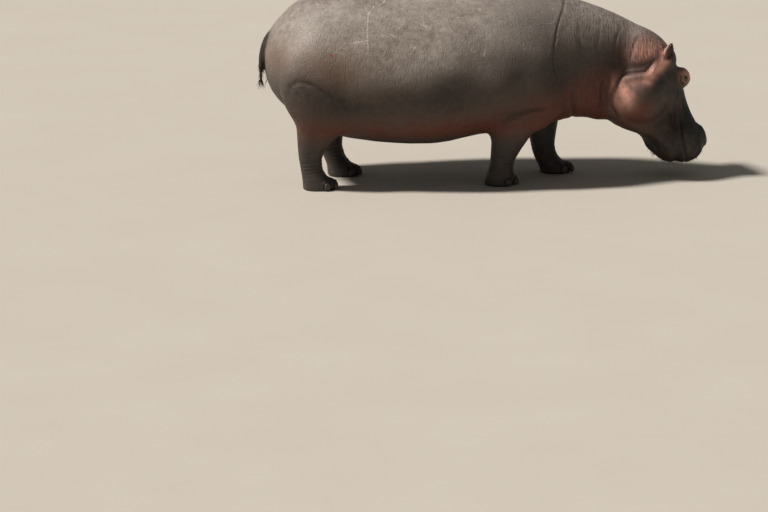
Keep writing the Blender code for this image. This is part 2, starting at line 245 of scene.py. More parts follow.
def crease(places, path, depth, width, lip, where, fade=0.20, dark=1.0):
    """Presses a groove with a swollen lip on both sides, and marks it as a fold for painted shade."""
    chosen = np.nonzero(where > 0.001)[0]
    distance, _, along = along_path(places[chosen], curve(path))
    strength = where[chosen] * ease(along / fade) * ease((1 - along) / fade)
    groove = np.exp(-((distance / width) ** 2)) * strength
    lips = np.exp(-(((distance - 2.4 * width) / (1.3 * width)) ** 2)) * strength
    points[chosen] += normals[chosen] * (lip * lips - depth * groove)[:, None]
    fold[chosen] = np.maximum(fold[chosen], groove * dark)


def patch(places, centre, sizes):
    """1 at a centre, fading softly to 0 over the sizes."""
    return np.exp(-(((places - np.array(centre)) / np.array(sizes)) ** 2).sum(axis=1))


def lumps(places, size, seed):
    """Smooth noise from -1 to 1 whose lumps are about as large as the size, in metres."""
    table = np.random.default_rng(seed).uniform(-1, 1, (48, 48, 48))
    cells = places / np.array(size) + 480
    low = np.floor(cells).astype(int)
    part = ease(cells - low)
    total = np.zeros(len(places))
    for corner in np.ndindex(2, 2, 2):
        weight = np.prod(np.where(corner, part, 1 - part), axis=1)
        total += weight * table[tuple(((low + corner) % 48).T)]
    return total


# Flesh under the hide, seen from the side: centre, half sizes and height of each swelling. The
# barrel swells behind the ribs and falls away behind the shoulder.
FLESH = (
    ((-0.72, 0.88), (0.42, 0.34), 0.016),
    ((-0.12, 0.86), (0.15, 0.26), -0.024),
    ((0.06, 0.77), (0.14, 0.13), 0.020),
    ((-0.30, 0.72), (0.12, 0.10), -0.010),
    ((0.49, 0.82), (0.09, 0.14), -0.020),
    ((0.28, 1.04), (0.17, 0.20), 0.014),
    ((-1.20, 0.70), (0.17, 0.09), -0.018),
    ((-1.06, 1.02), (0.22, 0.16), 0.010),
    ((-1.36, 0.66), (0.10, 0.10), 0.014),
)
seen = points[:, [0, 2]].copy()
for side, shift in ((-1, 0.0), (1, 0.10)):
    facing = ease(side * normals[:, 1] / 0.5)
    for centre, sizes, height in FLESH:
        moved = (centre[0] + shift * (centre[0] > -0.4), centre[1])
        points += normals * (height * patch(seen, moved, sizes) * facing)[:, None]

# Loose hide over them is never quite even
x, y, z = points.T
loose = ease((z - 0.25) / 0.20) * (1 - 0.75 * ease((x - 0.90) / 0.15))
points += normals * (0.004 * lumps(points, 0.16, 1) * loose)[:, None]
points += normals * (0.0012 * lumps(points, 0.045, 2) * loose)[:, None]

SHOULDER_FOLD = ((0.600, 1.400), (0.555, 1.301), (0.517, 1.242), (0.477, 1.163), (0.447, 1.052),
                 (0.436, 0.964), (0.452, 0.880), (0.480, 0.830))
THIGH_FOLD = ((-1.500, 0.650), (-1.455, 0.710), (-1.437, 0.764), (-1.415, 0.803), (-1.370, 0.825),
              (-1.300, 0.812), (-1.231, 0.778), (-1.150, 0.735), (-1.080, 0.690), (-1.020, 0.620))
ELBOW_FOLD = ((-0.030, 0.390), (0.065, 0.463), (0.131, 0.530), (0.200, 0.574), (0.270, 0.597),
              (0.378, 0.612), (0.440, 0.600))
CHEST_FOLD = ((0.640, 0.800), (0.600, 0.713), (0.606, 0.648), (0.615, 0.564), (0.630, 0.480),
              (0.640, 0.420))
THROAT_FOLD = ((0.850, 0.830), (0.836, 0.734), (0.830, 0.673), (0.826, 0.611), (0.822, 0.531),
               (0.815, 0.440))
NECK_FOLDS = (
    ((0.700, 1.330), (0.655, 1.230), (0.640, 1.120), (0.650, 1.000), (0.690, 0.900)),
    ((0.860, 1.230), (0.800, 1.120), (0.775, 1.000), (0.780, 0.900), (0.800, 0.800)),
    ((0.990, 1.150), (0.930, 1.050), (0.905, 0.950), (0.915, 0.850)),
    ((1.130, 1.100), (1.075, 1.020), (1.040, 0.930), (1.020, 0.850)),
)
ELBOW_SHIFT = 0.20
for side in SIDES.values():
    facing = ease(side * normals[:, 1] / 0.35 + 0.3)
    body = facing * (points[:, 0] < 0.9)
    moved = seen - np.array((ELBOW_SHIFT if side > 0 else 0.0, 0.0))
    crease(seen, SHOULDER_FOLD, 0.006, 0.0065, 0.002, body, 0.10, 0.7)
    crease(seen, THIGH_FOLD, 0.009, 0.016, 0.002, body, 0.35, 0.35)
    crease(moved, ELBOW_FOLD, 0.011, 0.014, 0.003, body, 0.30, 0.5)
    for path in NECK_FOLDS:
        crease(seen, path, 0.004, 0.010, 0.001, facing * (in_head(points)[:, 0] < 0.02), 0.35, 0.30)
whole_neck = ease((0.86 - points[:, 2]) / 0.15)
chest = whole_neck * ease((0.90 - points[:, 0]) / 0.10)
throat = whole_neck * ease((0.95 - points[:, 0]) / 0.10)
crease(seen, CHEST_FOLD, 0.012, 0.015, 0.004, chest, 0.3, 0.45)
crease(seen, THROAT_FOLD, 0.015, 0.017, 0.004, throat, 0.3, 0.45)
points += normals * (0.014 * patch(seen, (0.72, 0.56), (0.085, 0.12)) * whole_neck)[:, None]

# Cheek, mouth and nostrils, in the head's frame. The rim and the gutter beside the cheek's fold
# are given as distance from it, width and height; other paths run ahead and upwards.
HEAD_FLESH = (((0.235, -0.375), (0.150, 0.140), 0.016), ((0.300, -0.140), (0.120, 0.070), -0.008))
CHEEK_FOLD = ((0.010, -0.150), (0.032, -0.190), (0.056, -0.222), (0.074, -0.258), (0.067, -0.310),
              (0.060, -0.370), (0.062, -0.424), (0.086, -0.462), (0.134, -0.502), (0.190, -0.538),
              (0.245, -0.548), (0.300, -0.540), (0.350, -0.530), (0.390, -0.520))
CHEEK_RIM = (0.030, 0.024, 0.018)
CHEEK_GUTTER = (0.030, 0.032, 0.012)
MOUTH = ((1.000, -0.106), (0.860, -0.108), (0.780, -0.116), (0.690, -0.120), (0.600, -0.100),
         (0.500, -0.067), (0.400, -0.039), (0.330, -0.022), (0.292, -0.026))
MOUTH_FOLD = ((0.400, -0.075), (0.350, -0.064), (0.305, -0.050), (0.270, -0.058))
ahead, across, above = in_head(points).T
head_side = np.stack((ahead, above), axis=1)
unturned = points[:, 0] + math.sin(math.radians(HEAD_TURN)) * points[:, 1]
on_the_head = ease((unturned - 0.75) / 0.08)
beside = on_the_head * ease(np.abs(across) / 0.10)
for centre, sizes, height in HEAD_FLESH:
    points += normals * (height * patch(head_side, centre, sizes) * beside)[:, None]
crease(head_side, CHEEK_FOLD, 0.016, 0.012, 0.0, beside, 0.20, 0.8)
distance, side, along = along_path(head_side, curve(CHEEK_FOLD))
ends = ease(along / 0.25) * ease((1 - along) / 0.20) * beside
for (reach, width, height), where in ((CHEEK_RIM, side > 0), (CHEEK_GUTTER, side < 0)):
    swelling = height * np.exp(-(((distance - reach) / width) ** 2)) * ends * where
    points += normals * (np.where(side > 0, 1, -1) * swelling)[:, None]
lips = on_the_head * ease((ahead - 0.20) / 0.05)
distance, side, _ = along_path(head_side, curve(MOUTH))
edge = np.exp(-(((distance - 0.020) / 0.016) ** 2)) * lips * ease((ahead - 0.270) / 0.10)
edge *= np.where(side > 0, 0.009, 0.0015) * (1 - 0.6 * ease((ahead - 0.60) / 0.15))
points += normals * edge[:, None]
crease(head_side, MOUTH, 0.013, 0.0070, 0.0, lips * (1 - 0.45 * ease((ahead - 0.60) / 0.15)), 0.14)
crease(head_side, MOUTH_FOLD, 0.004, 0.009, 0.002, beside, 0.4, 0.4)

NOSTRIL_SLIT = ((0.684, 0.060), (0.708, 0.080), (0.738, 0.096), (0.768, 0.102), (0.794, 0.094))
NOSE_FOLDS = (((0.640, 0.050), (0.655, 0.100), (0.690, 0.145)),
              ((0.610, 0.040), (0.620, 0.095), (0.650, 0.150)))
BROW_FOLDS = (((0.140, 0.020), (0.148, 0.060), (0.160, 0.100)),
              ((0.335, 0.030), (0.330, 0.070), (0.322, 0.110)))
head_top = np.stack((ahead, np.abs(across)), axis=1)
upper = on_the_head * ease((above - 0.02) / 0.03)
crease(head_top, NOSTRIL_SLIT, 0.020, 0.0070, 0.008, upper, 0.22)
for path in NOSE_FOLDS:
    crease(head_top, path, 0.003, 0.008, 0.001, upper, 0.4, 0.3)
for path in BROW_FOLDS:
    crease(head_top, path, 0.004, 0.010, 0.003, on_the_head * ease(above / 0.03), 0.4, 0.4)

# Lids: drawn over the eyeball and open in an almond, with folds above and below that meet towards
# both corners. Places round an eye are (forward, upward) across the way it looks, and each fold
# has a path, a depth and a width.
GAZE = (0.03, 0.04)
LID_OPENING = (0.0195, 0.0105)
LID_THICKNESS = 0.006
LID_FOLDS = (
    (((-0.040, 0.002), (-0.024, 0.017), (0.000, 0.0225), (0.022, 0.017), (0.038, 0.002)), 0.0050,
     0.0036),
    (((-0.052, 0.004), (-0.034, 0.026), (0.000, 0.0370), (0.030, 0.028), (0.048, 0.008)), 0.0080,
     0.0060),
    (((-0.038, -0.006), (-0.020, -0.017), (0.002, -0.0205), (0.022, -0.017), (0.040, -0.008)), 0.0024,
     0.0030),
    (((-0.046, -0.014), (-0.022, -0.028), (0.004, -0.0335), (0.028, -0.028), (0.050, -0.012)), 0.0018,
     0.0036),
    (((0.018, -0.001), (0.034, -0.006), (0.052, -0.016)), 0.0030, 0.0030),
    (((-0.018, 0.000), (-0.034, -0.002), (-0.054, -0.010)), 0.0030, 0.0030),
)


def gaze_axes(side):
    """Of one eye: where it looks, then forwards and upwards across that."""
    gaze = (head_axes @ Vector((GAZE[0], side, GAZE[1]))).normalized()
    forward = head_axes @ Vector((1, 0, 0))
    forward = (forward - forward.dot(gaze) * gaze).normalized()
    return gaze, forward, gaze.cross(forward) * side


for which, side in SIDES.items():
    gaze, forward, upward = (np.array(axis) for axis in gaze_axes(side))
    from_eye = points - np.array(eye_places[which])
    reach = np.linalg.norm(from_eye, axis=1)
    across_gaze = np.stack((from_eye @ forward, from_eye @ upward), axis=1)
    lid_area = ease((0.085 - reach) / 0.02) * (from_eye @ gaze > 0)
    opening = np.linalg.norm(across_gaze / np.array(LID_OPENING), axis=1)
    near = np.nonzero((reach < 0.09) & (from_eye @ gaze > 0))[0]
    lid_reach = EYE_RADIUS + LID_THICKNESS * (0.60 + 0.40 * ease((opening - 1.0) / 0.8))
    settled = np.where(opening < 1, EYE_RADIUS - 0.006, np.maximum(reach, lid_reach))
    hold = 1 - ease((opening - 2.0) / 1.4)
    new_reach = reach + (settled - reach) * hold
    points[near] = np.array(eye_places[which]) + (from_eye * (new_reach / reach)[:, None])[near]
    for path, depth, width in LID_FOLDS:
        crease(across_gaze, path, depth, width, 0.5 * depth, lid_area * (opening > 1.15), 0.35, 0.80)
    # The lid's edge is marked as a fold too, for painted shade round the opening
    fold[near] = np.maximum(fold, 0.9 * np.exp(-(((opening - 1.0) / 0.12) ** 2)))[near]

# Feet: clefts between the toes, beds under the nails, and wrinkles round wrist and hock
# Clefts, wrinkles and nail beds are marked as folds too, for painted shade in them
TOE_ANGLES = (-64, -22, 22, 64)
CLEFT_ANGLES = (-43, 0, 43)
FOOT_REACH = 0.19
FOOT_HEIGHT = 0.30
NAIL_REACH_FROM_FOOT = 0.114
NAIL_BED = (0.026, 0.027)
WRIST_WRINKLE = 0.027
for foot in FEET:
    foot_middle = (middle(f"toenail_{foot}_2") + middle(f"toenail_{foot}_3")) / 2
    flat = points[:, :2] - np.array((foot_middle.x - NAIL_REACH_FROM_FOOT, foot_middle.y))
    reach = np.linalg.norm(flat, axis=1)
    angle = np.arctan2(flat[:, 1], flat[:, 0])
    on_foot = (reach < FOOT_REACH) & (points[:, 2] < FOOT_HEIGHT)
    low = 1 - ease((points[:, 2] - 0.075) / 0.035)
    for cleft in CLEFT_ANGLES:
        away = reach * np.abs(angle - math.radians(cleft))
        groove = np.exp(-((away / 0.008) ** 2)) * low * on_foot * ease((reach - 0.06) / 0.03)
        points -= normals * (0.010 * groove)[:, None]
        fold = np.maximum(fold, 0.8 * groove)
    height = points[:, 2] + 0.010 * np.sin(2 * angle + 1.0) + 0.008 * lumps(points, 0.08, 3)
    band = ease((height - 0.095) / 0.03) * (1 - ease((height - 0.215) / 0.05)) * on_foot
    ripple = (0.5 + 0.5 * np.cos(2 * math.pi * height / WRIST_WRINKLE)) ** 3
    points -= normals * (0.0035 * band * ripple)[:, None]
    fold = np.maximum(fold, 0.45 * band * ripple)
    for number, toe_angle in enumerate(TOE_ANGLES, start=1):
        heading = math.radians(toe_angle)
        out = np.array((math.cos(heading), math.sin(heading), 0))
        offset = points - np.array(middle(f"toenail_{foot}_{number}"))
        aside = offset @ np.array((-out[1], out[0], 0))
        bed = np.hypot(aside / NAIL_BED[0], offset[:, 2] / NAIL_BED[1])
        near = on_foot & (bed < 1.9) & (offset @ out > -0.03)
        cuticle = np.exp(-(((bed - 1.22) / 0.16) ** 2)) * near
        points += out * (0.0035 * cuticle - 0.010 * (near & (bed < 1)))[:, None]
        fold = np.maximum(fold, 0.7 * np.exp(-(((bed - 1.0) / 0.10) ** 2)) * near)

points[:, 2] = np.maximum(points[:, 2], 0.0)
hide.data.vertices.foreach_set("co", points.astype(np.float32).ravel())
hide.data.update()

# Hide, thinned where it is plain and kept fine where it is detailed
KEPT_LEVELS = 10
kept = 0.55 * ease((points[:, 0] - 0.78) / 0.12) + 0.30 * fold
kept += 0.30 * ease((0.26 - points[:, 2]) / 0.08)
for place in list(eye_places.values()) + ear_places + nostril_places:
    kept += 0.6 * (1 - ease((np.linalg.norm(points - np.array(place), axis=1) - 0.05) / 0.05))
kept = np.clip(kept, 0, 0.9)
weigh(hide, "kept", kept, KEPT_LEVELS)
# Each fold's depth, which the colour darkens as painted shade
hide.data.attributes.new("fold", "FLOAT", "POINT").data.foreach_set("value", fold.astype(np.float32))
thin = hide.modifiers.new("thin", "DECIMATE")
thin.ratio = HIDE_TRIANGLES / sum(len(face.vertices) - 2 for face in hide.data.polygons)
thin.vertex_group = "kept"
thin.invert_vertex_group = True
thin.vertex_group_factor = 0.02
apply_modifiers(hide)
hide.vertex_groups.clear()
hide.data.name = "hide"
shade_smooth(hide)

# Hide, colour. Warm grey on the back, red brown below, pink where it is thin: on the cheek's rim,
# behind the ears, on the lids and along the mouth. The snout and the temples are slate. Low on the
# body, on the legs and in the slate the colour is darker partly as painted shade, and on the
# cheek's rim the pink is lighter partly as painted light.

BACK_HEIGHTS = ((-1.65, 0.80), (-1.20, 0.84), (-0.80, 0.83), (-0.30, 0.86), (0.00, 0.94),
                (0.25, 1.02), (0.50, 1.06), (0.80, 1.06), (1.25, 1.06))
UNDERSIDE_HEIGHTS = ((-1.65, 0.58), (-1.20, 0.52), (-0.80, 0.52), (-0.30, 0.56), (0.20, 0.62),
                     (0.45, 0.74), (0.80, 0.84), (1.25, 0.92))
EAR_RIDGE = ((0.125, -0.300), (0.105, -0.230), (0.085, -0.165), (0.055, -0.115), (0.020, -0.085))
# Seen from the side in the row frame, or in the head's frame: centre, half sizes and amount
# Painted shade on the lower flank, round thigh, elbow and shoulder, and on the neck by the cheek
PAINTED_SHADE_PATCHES = (((-1.38, 0.78), (0.17, 0.14), 0.75), ((-1.24, 0.72), (0.22, 0.12), 0.60),
                ((-0.98, 0.65), (0.30, 0.11), 0.70), ((-0.50, 0.68), (0.65, 0.13), 0.60),
                ((-0.28, 0.77), (0.22, 0.13), 0.65), ((0.10, 0.98), (0.30, 0.16), 0.45),
                ((0.16, 0.56), (0.18, 0.07), 0.50), ((0.33, 1.18), (0.32, 0.22), 0.52),
                ((0.47, 0.80), (0.12, 0.13), 0.65), ((0.62, 1.08), (0.10, 0.16), 0.30),
                ((0.96, 0.87), (0.15, 0.11), 0.70))
BROWN_PATCHES = (((-1.16, 0.90), (0.28, 0.18), 0.75), ((-0.85, 0.72), (0.40, 0.08), 0.45),
                 ((-1.52, 0.95), (0.12, 0.14), 0.60))
RUDDY_NECK = (((1.15, 0.93), (0.16, 0.11), 0.95), ((0.98, 0.85), (0.13, 0.13), 0.75))
RUDDY_CHEEK = (((0.340, -0.400), (0.130, 0.120), 0.95), ((0.480, -0.320), (0.120, 0.080), 0.50))
# Pink on the cheek: on the rim it is partly painted light, brighter than the hide's own pink
CHEEK_BLUSH = (((0.185, -0.490), (0.105, 0.068), 1.00), ((0.120, -0.370), (0.055, 0.110), 0.42))
TEMPLE = ((0.205, -0.155), (0.095, 0.125))
CHEEK_SHADE = ((0.150, -0.275), (0.055, 0.060))
# Painted shade under the jaw
JAW_SHADE = ((0.540, -0.190), (0.220, 0.150))


def markings(points, normals):
    """How much of each colour there is at each place of the hide, as arrays from 0 to 1."""
    x, y, z = points.T
    ahead, across, above = in_head(points).T
    body, side = points[:, [0, 2]], np.stack((ahead, above), axis=1)
    unturned = x + math.sin(math.radians(HEAD_TURN)) * y
    head = ease((unturned - 0.79) / 0.06) * ease((ahead + 0.02) / 0.06) * ease((above + 0.62) / 0.06)
    beside = head * ease((np.abs(across) - 0.06) / 0.06)
    ears = np.maximum(near_box(points, "ear_left", 0.015), near_box(points, "ear_right", 0.015))
    tail = near_box(points, "tail", 0.02) * ease((-1.53 - x) / 0.04)
    tail *= 1 - ease((np.abs(y - middle("tail").y) - 0.040) / 0.015)
    edge = np.interp(x, *np.array(UNDERSIDE_HEIGHTS).T)
    leg = ease((0.46 - z) / 0.16) * (1 - ease((x - 0.85) / 0.10))
    ruddy = ease((edge - z) / 0.22 + 0.5) * (1 - 0.85 * leg) * (1 - 0.75 * head)
    for centre, sizes, amount in RUDDY_NECK:
        ruddy = np.maximum(ruddy, amount * patch(body, centre, sizes) * (1 - head))
    for centre, sizes, amount in RUDDY_CHEEK:
        ruddy = np.maximum(ruddy, amount * patch(side, centre, sizes) * beside)
    # Painted shade in hollows, under belly and jaw, behind the cheek; and the tail's own dark tone
    painted_shade_and_tail = 0.75 * tail + 0.35 * ease((0.50 - z) / 0.2) * (np.abs(y) < 0.16) * (1 - head)
    for centre, sizes, amount in PAINTED_SHADE_PATCHES:
        painted_shade_and_tail = np.maximum(painted_shade_and_tail, amount * patch(body, centre, sizes) * (1 - head))
    brown = 0.25 * ease((0.9 - z) / 0.3)
    for centre, sizes, amount in BROWN_PATCHES:
        brown = np.maximum(brown, amount * patch(body, centre, sizes))
    painted_shade_and_tail = np.maximum(painted_shade_and_tail, 0.80 * patch(side, *JAW_SHADE) * head)
    to_fold, which_side, along = along_path(side, curve(CHEEK_FOLD))
    behind_cheek = np.exp(-((to_fold / 0.050) ** 2)) * (which_side < 0) * ease((1 - along) / 0.3)
    painted_shade_and_tail = np.maximum(painted_shade_and_tail, 0.75 * behind_cheek * (x > 0.85) * ease(np.abs(across) / 0.15))
    lids = np.zeros(len(points))
    ear_back = np.zeros(len(points))
    for which, side_of_head in SIDES.items():
        lid_bag = np.array(on_head(0.226, 0.164 * side_of_head, 0.042))
        lids = np.maximum(lids, np.exp(-((np.linalg.norm(points - lid_bag, axis=1) / 0.052) ** 2)))
        opening = np.array(head_axes @ Vector((0.35, 0.85 * side_of_head, 0.35)))
        ear_back = np.maximum(ear_back, near_box(points, "ear_" + which, 0.02)
                              * ease(0.30 - 1.4 * (normals @ opening)))
    ridge = np.exp(-((along_path(side, curve(EAR_RIDGE))[0] / 0.040) ** 2))
    ridge *= ease(np.abs(across) / 0.15)
    mouth = along_path(side, curve(MOUTH))[0]
    lip_line = np.exp(-((mouth / 0.010) ** 2))
    lip_line *= ease((0.60 - ahead) / 0.2) * ease((ahead - 0.30) / 0.14)
    lids *= np.clip(0.85 + 0.45 * lumps(points, 0.035, 7), 0, 1)
    ridge *= ease((x - 0.88) / 0.06) * ease((ahead + 0.085) / 0.06)
    streaks = patch(body, (1.16, 0.955), (0.13, 0.09)) * (1 - head)
    blush = np.max((0.90 * lids * head, 0.90 * ridge, 0.24 * streaks), axis=0)
    blush = np.maximum(blush, 0.80 * ear_back * ease((z - middle("ear_left").z + 0.075) / 0.040))
    blush = np.maximum(blush, 0.30 * lip_line * head)
    for centre, sizes, amount in CHEEK_BLUSH:
        blush = np.maximum(blush, amount * patch(side, centre, sizes) * beside)
    snout = ease((above + 0.055) / 0.03) * ease((ahead - 0.10) / 0.08)
    crown = ease((above + 0.13) / 0.05) * ease((ahead + 0.08) / 0.05)
    muzzle = ease((ahead - 0.52) / 0.14)
    # The temples and a patch high on the cheek: slate, partly painted shade
    temple = np.minimum(1.3 * patch(side, *TEMPLE), 1)
    temple = np.maximum(temple, 0.60 * patch(side, *CHEEK_SHADE))
    slate = np.max((snout, temple, 0.85 * muzzle, 0.8 * crown), axis=0) * ease((x - 0.9) / 0.1)
    slate *= ease((ahead + 0.06) / 0.05) * (1 - np.max((0.8 * lids, 0.9 * ridge), axis=0))
    # Inside the ears: painted shade in the hollow, with some slate and red brown and less pink
    hollow = ears * (1 - ear_back) * ease((z - middle("ear_left").z + 0.070) / 0.040)
    blush *= 1 - 0.85 * hollow
    slate = np.maximum(slate, 0.55 * hollow)
    ruddy = np.maximum(ruddy, 0.8 * hollow)
    painted_shade_and_tail = np.maximum(painted_shade_and_tail, 0.6 * hollow)
    back = ease((z - np.interp(x, *np.array(BACK_HEIGHTS).T)) / 0.36 + 0.5) * (1 - 0.6 * head)
    neck = ease((x - 0.44) / 0.10) * (1 - head) * ease((z - 0.45) / 0.15)
    back *= 1 - tail
    return {"back": back, "brown": brown, "ruddy": ruddy, "leg": leg, "painted_shade_and_tail": painted_shade_and_tail, "slate": slate,
            "blush": blush, "neck": neck, "streaks": streaks, "face": head}


for name, amount in markings(vertex_places(hide.data), vertex_normals(hide.data)).items():
    attribute = hide.data.attributes.new(name, "FLOAT", "POINT")
    attribute.data.foreach_set("value", amount.astype(np.float32))


def linear(hex_colour):
    """An sRGB hex colour as linear red, green, blue and alpha."""
    channels = [int(hex_colour[start : start + 2], 16) / 255 for start in (1, 3, 5)]
    return (*[c / 12.92 if c <= 0.04045 else ((c + 0.055) / 1.055) ** 2.4 for c in channels], 1.0)


def add(tree, kind, inputs, out=0, **settings):
    """Adds a node with its settings and its links or values, and gives back one of its outputs."""
    node = tree.nodes.new("ShaderNode" + kind)
    for name, value in settings.items():
        setattr(node, name, value)
    for name, value in inputs.items():
        if isinstance(value, bpy.types.NodeSocket):
            tree.links.new(value, node.inputs[name])
        else:
            node.inputs[name].default_value = value
    return node.outputs[out] if node.outputs else None


# Sockets of a Mix node that mixes colours
MIX_A, MIX_B, MIX_OUT = 6, 7, 2


def new_material(name):
    """An empty node material and its tree."""
    material = bpy.data.materials.new(name)
    material.use_nodes = True
    material.node_tree.nodes.clear()
    return material, material.node_tree


# Bare hide: pebbled, with fine wrinkles that run upright on the body and level on the legs, flecks
# and scratches of dried mud on the back, freckles in the pink, and a slightly greasy, satin surface.
# The darkest colour is painted shade, and also the tail's own dark tone; the crease colour is
# painted shade in folds and wrinkles.
HIDE_COLOURS = {
    "back": "#9f958d", "back_dark": "#7b7068", "flank": "#453c36", "brown": "#684f3f",
    "ruddy": "#5a2f22", "leg": "#3b342f", "painted_shade_and_tail": "#251f1c", "slate": "#272724",
    "blush": "#e0a796", "fleck": "#bdb2a6", "freckle": "#5e3a31", "crevice": "#2a1e1b",
    "scar": "#cdc2b5", "wound": "#8a2f20",
}
BROAD_MOTTLE = 0.25
MOTTLE = 0.045
WRINKLE = 0.030
PEBBLE = 0.009
GRAIN = 0.004
FLECK_CELL = 0.014
FRECKLE_CELL = 0.018
NECK_WRINKLE = 0.022
# Where each colour lies over those before it, and how ragged its edge is
LAYERS = (("brown", 0.5), ("ruddy", 0.6), ("leg", 0.4), ("painted_shade_and_tail", 0.5), ("slate", 0.5), ("blush", 0.5))
# Old cuts, as places along each in the row frame, its half width and how pale it is. Distances
# across the body count for less, so that a cut stays on the skin wherever it bulges.
ACROSS = 0.12
SCARS = (
    (((-0.826, -0.306, 1.333), (-0.874, -0.361, 1.286), (-0.890, -0.443, 1.185),
      (-0.889, -0.506, 1.053)), 0.0040, 0.85),
    (((-0.743, -0.267, 1.361), (-0.797, -0.308, 1.333)), 0.0035, 0.7),
    (((-0.893, -0.479, 1.120), (-0.957, -0.479, 1.107), (-1.021, -0.473, 1.100)), 0.0030, 0.6),
    (((-1.063, -0.473, 1.086), (-1.135, -0.485, 1.025)), 0.0030, 0.5),
    (((-0.557, -0.524, 1.071), (-0.594, -0.539, 1.025)), 0.0035, 0.7),
    (((-0.051, -0.526, 1.062), (-0.068, -0.549, 0.995)), 0.0045, 0.8),
    (((-0.560, -0.422, 1.240), (-0.464, -0.456, 1.201)), 0.0030, 0.6),
    (((-0.736, -0.472, 1.159), (-0.688, -0.486, 1.139)), 0.0040, 0.7),
    (((-0.640, -0.433, 1.222), (-0.671, -0.458, 1.184)), 0.0030, 0.5),
    (((-1.005, -0.387, 1.249), (-1.036, -0.420, 1.198)), 0.0030, 0.5),
    (((-0.900, 0.420, 1.210), (-0.960, 0.500, 1.080)), 0.0035, 0.6),
    (((-0.300, 0.440, 1.190), (-0.420, 0.500, 1.100)), 0.0035, 0.6),
)
WOUND = (-1.150, -0.489, 1.012)
tones = {name: linear(colour) for name, colour in HIDE_COLOURS.items()}
hide_material, tree = new_material("bare hide")
place = add(tree, "TexCoord", {}, "Object")
amounts = {name: add(tree, "Attribute", {}, "Fac", attribute_name=name)
           for name in ("fold", "back", "neck", "streaks", "face",
                        *[name for name, _ in LAYERS])}
broad = add(tree, "TexNoise", {"Vector": place, "Scale": 1 / BROAD_MOTTLE, "Detail": 4.0}, "Fac")
mottle = add(tree, "TexNoise", {"Vector": place, "Scale": 1 / MOTTLE, "Detail": 6.0,
             "Roughness": 0.62}, "Fac")
grain = add(tree, "TexNoise", {"Vector": place, "Scale": 1 / GRAIN, "Detail": 2.0}, "Fac")
patchy = add(tree, "Math", {0: broad, 1: mottle}, operation="ADD")
patchy = add(tree, "Math", {0: patchy, 1: 0.5}, operation="MULTIPLY")

# Wrinkles lie where a stretched noise crosses its middle, as long winding lines
lines = {}
for name, stretch, size, width in (("upright", (1, 1, 0.25), WRINKLE, 0.050),
                                   ("level", (0.25, 0.25, 1), WRINKLE, 0.050),
                                   ("crossing", (0.8, 0.8, 0.5), 0.5 * WRINKLE, 0.040),
                                   ("neck", (1, 0.22, 0.16), NECK_WRINKLE, 0.070),
                                   ("pale", (1, 0.30, 0.12), 0.5 * NECK_WRINKLE, 0.100)):
    stretched = add(tree, "Mapping", {"Vector": place, "Scale": stretch})
    waves = add(tree, "TexNoise", {"Vector": stretched, "Scale": 1 / size, "Detail": 1.0,
                "Distortion": 0.15}, "Fac")
    from_middle = add(tree, "Math", {0: waves, 1: 0.5}, operation="SUBTRACT")
    from_middle = add(tree, "Math", {0: from_middle}, operation="ABSOLUTE")
    lines[name] = add(tree, "MapRange", {"Value": from_middle, "From Min": 0.0, "From Max": width,
                      "To Min": 1.0, "To Max": 0.0}, interpolation_type="SMOOTHSTEP")
off_neck = add(tree, "Math", {0: 1.0, 1: amounts["neck"]}, operation="SUBTRACT")
off_leg = add(tree, "Math", {0: off_neck, 1: amounts["leg"]}, operation="SUBTRACT", use_clamp=True)
upright = add(tree, "Math", {0: lines["upright"], 1: off_leg}, operation="MULTIPLY")
level = add(tree, "Math", {0: lines["level"], 1: amounts["leg"]}, operation="MULTIPLY")
neck_line = add(tree, "Math", {0: lines["neck"], 1: amounts["neck"]}, operation="MULTIPLY")
wrinkle = add(tree, "Math", {0: upright, 1: level}, operation="MAXIMUM")
wrinkle = add(tree, "Math", {0: lines["crossing"], 1: 0.35, 2: wrinkle}, operation="MULTIPLY_ADD")
off_face = add(tree, "Math", {0: amounts["face"], 1: -0.60, 2: 1.0}, operation="MULTIPLY_ADD")
wrinkle = add(tree, "Math", {0: wrinkle, 1: off_face}, operation="MULTIPLY")
cells = add(tree, "TexVoronoi", {"Vector": place, "Scale": 1 / PEBBLE, "Smoothness": 0.6}, "Distance",
            feature="SMOOTH_F1")

# Colours in layers, each with a ragged edge
patchiness = add(tree, "MapRange", {"Value": patchy, "From Min": 0.38, "From Max": 0.62})
colour = add(tree, "Mix", {0: patchiness, MIX_A: tones["back_dark"], MIX_B: tones["back"]}, MIX_OUT,
             data_type="RGBA")
colour = add(tree, "Mix", {0: amounts["back"], MIX_A: tones["flank"], MIX_B: colour}, MIX_OUT,
             data_type="RGBA")
for name, raggedness in LAYERS:
    ragged = add(tree, "MapRange", {"Value": patchy, "From Min": 0.35, "From Max": 0.65,
                 "To Min": 1 - raggedness, "To Max": 1 + raggedness})
    amount = add(tree, "Math", {0: amounts[name], 1: ragged}, operation="MULTIPLY", use_clamp=True)
    colour = add(tree, "Mix", {0: amount, MIX_A: colour, MIX_B: tones[name]}, MIX_OUT,
                 data_type="RGBA")

